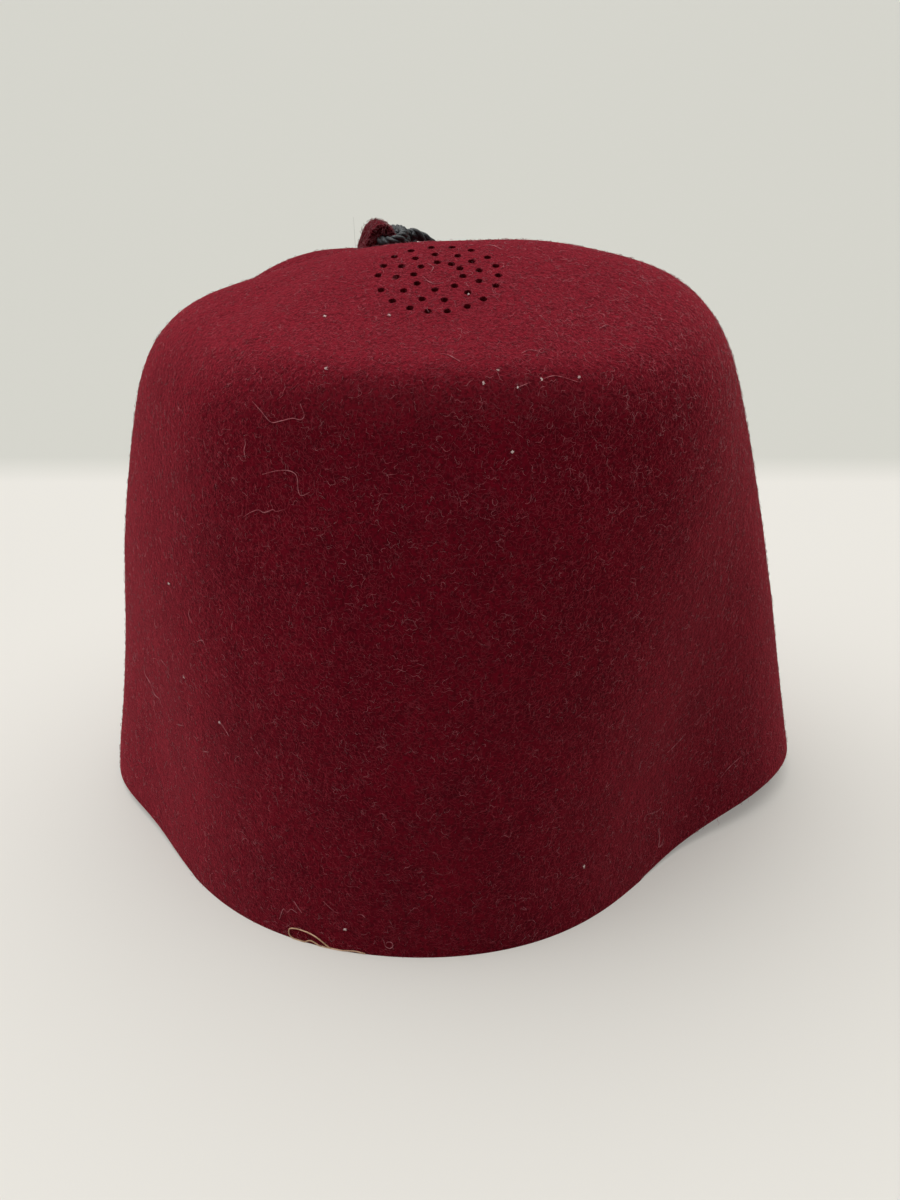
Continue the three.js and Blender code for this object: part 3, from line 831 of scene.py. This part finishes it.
class FEZ_OT_tassel_skirt(bpy.types.Operator):
    """Makes the hanging silk threads of the tassel"""

    bl_idname = "fez.tassel_skirt"
    bl_label = "Tassel skirt"

    def execute(self, context):
        settings = context.scene.fez_silk
        draw = np.random.default_rng(7)
        count, rows = settings.threads, 40
        radius = settings.thread / 2
        depth = np.sqrt(draw.uniform(0.02, 1.0, (count, 1)))
        depth[: count // 2] = 1.0
        turn = 2 * np.pi * (np.arange(count)[:, None] + draw.uniform(-0.3, 0.3, (count, 1))) / (count / 2)
        t = np.linspace(0, 1, rows)
        sway = draw.uniform(-1, 1, (count, 1)) * 0.16 * np.sin(np.pi * t * draw.uniform(0.6, 1.8, (count, 1)))
        full = tassel_lines(SKIRT_PROFILE, turn + sway, rows, radius, 1.0)
        middle = tassel_lines([(down, 0, 0) for down, _, _ in SKIRT_PROFILE], np.zeros((1, 1)), rows, 0, 0.0)
        lines = middle + (full - middle) * depth[..., None]
        cut = 1 - draw.uniform(0, 0.035, (count, 1)) * t
        top = lines[:, :1]
        lines = top + (lines - top) * cut[..., None]
        turns = 2 * np.pi * np.arange(8) / 8
        laid = 2 * np.pi * 26 * t[:, None]
        ply = 1 + 0.14 * np.cos(2 * (turns[None, :] + laid))
        skirt = tubes("thread_skirt", lines, radius * ply[None], 8)
        finish_piece(skirt, silk_material(), "black_silk", "tassel_skirt")
        return {"FINISHED"}


# ---- nap, fibres and lint ---------------------------------------------------------


def scatter(piece, count, draw, density):
    """Roots spread over a piece and its normal at each; density weighs the places and can keep them to the outside."""
    mesh = piece.data
    mesh.calc_loop_triangles()
    corners = np.empty(len(mesh.loop_triangles) * 3, np.int32)
    mesh.loop_triangles.foreach_get("vertices", corners)
    places, normals = (np.empty(len(mesh.vertices) * 3) for _ in range(2))
    mesh.vertices.foreach_get("co", places)
    mesh.vertices.foreach_get("normal", normals)
    corners = corners.reshape(-1, 3)
    triangles, leans = places.reshape(-1, 3)[corners], normals.reshape(-1, 3)[corners]
    area = np.linalg.norm(np.cross(triangles[:, 1] - triangles[:, 0], triangles[:, 2] - triangles[:, 0]), axis=1)
    weight = area * density(triangles.mean(1), leans.mean(1))
    chosen = draw.choice(len(area), count, p=weight / weight.sum())
    first, second = draw.random((2, count, 1))
    flip = first + second > 1
    first, second = np.where(flip, 1 - first, first), np.where(flip, 1 - second, second)
    shares = np.stack([1 - first - second, first, second], 1)
    return (triangles[chosen] * shares).sum(1), unit((leans[chosen] * shares).sum(1))


def outside(places, normals):
    """1 where the felt faces out and 0 on its inner face."""
    return ((places - np.array(AXIS + UP * INSIDE_HEIGHT)) * normals).sum(1) > 0


def everywhere(places, normals):
    """The same all over a piece."""
    return np.ones(len(places))


LOOP_HAIRS = 1400


def curled(roots, normals, draw, length, curl, lift, steps):
    """Lines of loose fibres that start at the roots, wander over the surface and stand a little off it."""
    count = len(roots)
    first = unit(np.cross(normals, draw.normal(size=(count, 3))))
    second = np.cross(normals, first)
    long = length * draw.uniform(0.45, 1.6, (count, 1))
    t = np.linspace(0, 1, steps)
    heading = curl * draw.normal(size=(count, 1)) * t + 0.5 * curl * np.sin(
        2 * np.pi * (t * draw.uniform(0.5, 1.5, (count, 1)) + draw.random((count, 1)))
    )
    step = long / (steps - 1)
    along, across = (
        np.concatenate([np.zeros((count, 1)), np.cumsum(part[:, :-1] * step, axis=1)], axis=1)
        for part in (np.cos(heading), np.sin(heading))
    )
    height = lift * draw.uniform(0.2, 1.5, (count, 1)) * np.sin(np.pi * (0.08 + 0.8 * t))
    lines = roots[:, None] + along[..., None] * first[:, None] + across[..., None] * second[:, None]
    lines += height[..., None] * normals[:, None]
    lines[..., 2] = np.maximum(lines[..., 2], 0.05 * MM)
    return lines


class FEZ_OT_nap(bpy.types.Operator):
    """Makes the short nap of the felt and the paler curly fibres on it"""

    bl_idname = "fez.nap"
    bl_label = "Nap and fibres"

    def execute(self, context):
        settings = context.scene.fez_felt
        cap = bpy.data.objects["felt_shell"]
        draw = np.random.default_rng(11)
        dye = wool_fibre("wool_nap_dyed", tuple(settings.colour), tuple(settings.fibre), 0.3)
        roots, normals = scatter(cap, settings.nap_count, draw, outside)
        lines = curled(roots, normals, draw, 1.1 * MM, 0.8, 0.26 * MM, 3)
        taper = np.array([1.0, 0.8, 0.35])[None, :, None]
        nap = tubes("short_nap", lines, 0.045 * MM * taper, 3)
        finish_piece(nap, dye, "wool_felt")
        pale = wool_fibre("wool_fibre_pale", linear("963442"), linear("C67C84"), 0.2)
        roots, normals = scatter(cap, settings.fibre_count, draw, self.fibres_and_crown_highlight)
        lines = curled(roots, normals, draw, 2.2 * MM, 1.7, 0.16 * MM, 8)
        taper = (0.6 + 0.4 * np.sin(np.pi * np.linspace(0.05, 0.95, 8)))[None, :, None]
        fibres = tubes("curly_fibres", lines, 0.03 * MM * taper, 3)
        finish_piece(fibres, pale, "wool_felt")
        roots, normals = scatter(bpy.data.objects["felt_loop"], LOOP_HAIRS, draw, everywhere)
        lines = curled(roots, normals, draw, 1.2 * MM, 0.9, 0.28 * MM, 5)
        finish_piece(tubes("loop_nap", lines, 0.035 * MM, 3), dye, "wool_felt")
        return {"FINISHED"}

    def fibres_and_crown_highlight(self, places, normals):
        """More loose fibres on the front's right side, and most of all on its shoulder."""
        turn = np.degrees(np.arctan2(places[:, 1] - AXIS.y, places[:, 0] - AXIS.x))
        side = np.exp(-0.5 * ((turn + 25) / 26) ** 2)
        shoulder = np.exp(-0.5 * ((places[:, 2] - 122 * MM) / (14 * MM)) ** 2)
        return outside(places, normals) * (0.5 + side * (0.7 + 2.6 * shoulder))


# Long loose fibres on the felt: where each starts, measured from the axis, and
# its steps, each a length and a heading on the surface (0 is level to the
# right and 90 is up), in millimetres and degrees.
LONG_FIBRES = [
    {"at": (-42, -58, 124), "steps": [(3.4, -46), (2.8, -45), (2.4, 9), (2.7, 14), (1.8, -8), (1.3, 50), (2.5, 110)]},
    {"at": (-40, -62, 109), "steps": [(3.2, 17), (2.4, 7), (1.7, -10), (1.4, -49), (3, -85), (1.2, -50), (2, 25)]},
    {"at": (-45, -62, 99), "steps": [(2.5, 32), (2, 21), (1.3, -20), (1.3, 14), (1.1, 24), (1, -18), (2, 17)]},
    {"at": (-44, -59, 116), "steps": [(1.1, -72), (1.6, -105), (1.8, -80)]},
    {"at": (-76, -26, 45), "steps": [(2.7, -90), (4.3, -12), (2.6, -43), (3.9, 10), (1, -80)]},
    {"at": (-59, -53, 73), "steps": [(1.7, -104), (2.2, -51)]},
    {"at": (-69, -39, 53), "steps": [(3.9, -6)]},
    {"at": (-53, -61, 48), "steps": [(1.5, -30), (2.6, -43)]},
    {"at": (-44, -68, 45), "steps": [(2.3, -46)]},
    {"at": (-58, -56, 66), "steps": [(2.1, 26), (1.4, -43)]},
    {"at": (-66, -44, 38), "steps": [(4.4, 24)]},
    {"at": (-58, -55, 37), "steps": [(3.2, 20)]},
    {"at": (-40, -76, 4), "steps": [(3.2, 68), (1.2, -25), (1.6, 44), (1.7, -21)]},
    {"at": (-36, -77, 10), "steps": [(1.9, -53), (1.3, -50)]},
    {"at": (-29, -80, 12), "steps": [(1.7, -41), (1.7, -37), (1.1, -17)]},
    {"at": (-21, -82, 10), "steps": [(1, 14), (1.3, -39)]},
    {"at": (-15, -84, 4), "steps": [(1.2, -80), (1.2, -30), (1, 40), (1, 110), (1, 180), (1, 250)]},
    {"at": (47, -52, 16), "steps": [(1.4, 58), (4.9, -14), (2, 5)]},
    {"at": (51, -47, 11), "steps": [(3.7, -80), (1.9, -99), (1.2, 0), (2, 50)]},
    {"at": (68, -30, 15), "steps": [(3.8, 33), (5, 20)]},
    {"at": (52, -45, 31), "steps": [(3.1, 7), (4.6, 17)]},
    {"at": (-6, -32, 144), "steps": [(2.4, -59), (1.8, -32), (1.9, 10)]},
    {"at": (-5, -27, 146), "steps": [(2.2, -55), (2.3, -105)]},
    {"at": (8, -18, 148), "steps": [(1.9, -10), (2.9, -54)]},
    {"at": (-15, -30, 144), "steps": [(2.6, 16), (1.6, 21)]},
    {"at": (-2, -58, 134), "steps": [(1.8, -16), (3.1, -40)]},
    {"at": (32, -46, 136), "steps": [(2.3, 44), (1.4, -12)]},
    {"at": (4, -18, 148), "steps": [(1.4, 2)]},
    {"at": (10, -35, 143), "steps": [(1.9, 15)]},
    {"at": (15, -58, 135), "steps": [(2.1, 34), (1.9, -5)]},
    {"at": (14, -64, 129), "steps": [(3.1, 22)]},
    {"at": (19, -62, 130), "steps": [(3.2, 18), (4.8, -10)]},
    {"at": (30, 76, 70), "steps": [(3, 200), (2.5, 160), (2, 110), (2, 60)]},
    {"at": (-46, 70, 52), "steps": [(2.5, 170), (3, 215), (2, 190)]},
    {"at": (76, 20, 82), "steps": [(2.5, 80), (2.5, 40), (2, 95)]},
]

# Flecks of pale lint caught on the felt, measured from the axis.
FLECKS = [
    {"at": (-24, -82, 6), "width": 0.95},
    {"at": (13, -67, 116), "width": 0.8},
    {"at": (-53, -61, 48), "width": 0.7},
    {"at": (-65, -46, 76), "width": 0.6},
    {"at": (-62, -50, 54), "width": 0.45},
    {"at": (31, -70, 15), "width": 0.5},
    {"at": (27, -60, 130), "width": 0.6},
    {"at": (7, -64, 130), "width": 0.5},
    {"at": (14, -64, 129), "width": 0.4},
    {"at": (19, -62, 130), "width": 0.4},
    {"at": (-13, -45, 139), "width": 0.6},
    {"at": (4, -39, 142), "width": 0.5},
    {"at": (-27, -43, 138), "width": 0.5},
    {"at": (-26, -60, 132), "width": 0.6},
    {"at": (10, -62, 132), "width": 0.4},
    {"at": (60, 55, 60), "width": 0.5},
    {"at": (-30, 78, 90), "width": 0.5},
]

# A stray cream thread at the front of the rim: a doubled bight, whose two
# strands cross and run down over the cut edge.
STRAY_THREAD = [
    {"at": (-37.4, -76.8, 1.4), "steps": [(1.1, 70), (1.8, 14), (2, -2), (2.2, -12), (2.2, -26), (2, -34), (1.6, -25), (2.4, 2), (3, 6), (2.5, -8)]},
    {"at": (-37.4, -76.8, 1.4), "steps": [(1, -65), (1.7, -22), (2, 0), (1.8, 24), (1.2, -12), (2, -24), (2.2, -30), (3, -4)]},
]
STRAY_THICKNESS = 0.33 * MM

# Fine dark hairs that stand off the felt beside the loop, from their roots.
DARK_HAIRS = {"at": (-22, 13.5, 134), "count": 9, "length": 5.5 * MM}


def walked(tree, at, steps, lift):
    """A line walked over the felt from a place, by steps of length and heading, a little above its surface."""
    place, normal = tree.find_nearest(AXIS + Vector(at) * MM)[:2]
    line = [place + normal * lift]
    for length, heading in steps:
        right = (Vector((1, 0, 0)) - normal * normal.x).normalized()
        up = normal.cross(right)
        angle = math.radians(heading)
        ahead = place + (right * math.cos(angle) + up * math.sin(angle)) * length * MM
        place, normal = tree.find_nearest(ahead)[:2]
        line.append(place + normal * lift)
    return evenly_spaced(line, 0.25 * MM)


class FEZ_OT_lint(bpy.types.Operator):
    """Makes the long loose fibres, the pale flecks, the stray thread at the rim and the hairs by the loop"""

    bl_idname = "fez.lint"
    bl_label = "Lint"

    def execute(self, context):
        tree = BVHTree.FromObject(bpy.data.objects["felt_shell"], context.evaluated_depsgraph_get())
        pale = bpy.data.materials["wool_fibre_pale"]
        fibres = [self.strand(walked(tree, row["at"], row["steps"], 0.12 * MM), 0.075 * MM) for row in LONG_FIBRES]
        finish_piece(joined("long_fibres", *fibres), pale, "wool_felt")
        draw = np.random.default_rng(5)
        flecks = [self.fleck(tree, row["at"], row["width"], draw) for row in FLECKS]
        finish_piece(joined("lint_flecks", *flecks), wool_fibre("lint_cotton", linear("D8B8B8"), linear("F4E4E0"), 0.3), "wool_felt")
        cream = wool_fibre("cotton_thread_cream", linear("B8906E"), linear("E0BA9C"), 0.2)
        strands = []
        for row in STRAY_THREAD:
            line = walked(tree, row["at"], row["steps"], STRAY_THICKNESS * 0.6)
            line[:, 2] = np.maximum(line[:, 2], STRAY_THICKNESS / 2)
            strands.append(rope("strand", line, STRAY_THICKNESS, 1.4 * MM))
        finish_piece(joined("stray_thread", *strands), cream, "wool_felt")
        hairs = [self.hair(tree, draw) for _ in range(DARK_HAIRS["count"])]
        finish_piece(joined("dark_hairs", *hairs), wool_fibre("wool_hair_dark", linear("2A2426"), linear("55484A"), 0.1), "wool_felt")
        return {"FINISHED"}

    def strand(self, line, radius):
        thin = 0.45 + 0.55 * np.sin(np.pi * np.linspace(0.03, 0.97, len(line)))
        return tubes("strand", line[None], (radius * thin)[None, :, None], 5)

    def fleck(self, tree, at, width, draw):
        """A little knot of lint: a few short curls wound about one place."""
        place, normal = tree.find_nearest(AXIS + Vector(at) * MM)[:2]
        count = 9
        roots = np.array(place) + draw.normal(size=(count, 3)) * width * MM * 0.12
        normals = np.repeat(np.array(normal)[None], count, 0)
        lines = curled(roots, normals, draw, 0.75 * width * MM, 3.0, 0.2 * MM, 8)
        return tubes("fleck", lines, 0.07 * MM, 4)

    def hair(self, tree, draw):
        """One thin hair that grows out of the felt and bends over."""
        spread = Vector(draw.normal(size=3)) * 1.6
        place, normal = tree.find_nearest(AXIS + (Vector(DARK_HAIRS["at"]) + spread) * MM)[:2]
        ends = np.array(normal) + draw.normal(size=3) * 0.45
        t = np.linspace(0, 1, 9)[:, None]
        bend = draw.normal(size=3) * 0.5
        length = DARK_HAIRS["length"] * draw.uniform(0.6, 1.2)
        line = np.array(place) + length * (t * ends + t**2 * bend)
        return tubes("hair", line[None], (0.03 * MM * (1 - 0.6 * t.T))[..., None], 4)


# ---- panel and registration -------------------------------------------------------


class FEZ_PT_panel(bpy.types.Panel):
    """Sidebar panel with the hat's settings and the steps that make it"""

    bl_label = "Wool Felt Fez"
    bl_idname = "FEZ_PT_panel"
    bl_space_type = "VIEW_3D"
    bl_region_type = "UI"
    bl_category = "Fez"

    def draw(self, context):
        for settings in (context.scene.fez_felt, context.scene.fez_silk, context.scene.fez_stage):
            box = self.layout.box()
            for name in settings.__annotations__:
                box.prop(settings, name)
        for operator in OPERATORS:
            self.layout.operator(operator.bl_idname)


SETTINGS = {"fez_felt": FezFeltSettings, "fez_silk": FezSilkSettings, "fez_stage": FezStageSettings}
OPERATORS = (
    FEZ_OT_stage,
    FEZ_OT_cord,
    FEZ_OT_hitch,
    FEZ_OT_tassel_head,
    FEZ_OT_tassel_skirt,
    FEZ_OT_felt_cap,
    FEZ_OT_crown_loop,
    FEZ_OT_nap,
    FEZ_OT_lint,
)


def register():
    for cls in (*SETTINGS.values(), *OPERATORS, FEZ_PT_panel):
        bpy.utils.register_class(cls)
    for name, cls in SETTINGS.items():
        setattr(bpy.types.Scene, name, PointerProperty(type=cls))


def unregister():
    for name in SETTINGS:
        delattr(bpy.types.Scene, name)
    for cls in reversed((*SETTINGS.values(), *OPERATORS, FEZ_PT_panel)):
        bpy.utils.unregister_class(cls)


def main():
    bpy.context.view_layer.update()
    register()
    for operator in OPERATORS:
        family, name = operator.bl_idname.split(".")
        getattr(getattr(bpy.ops, family), name)()


if __name__ == "__main__":
    main()
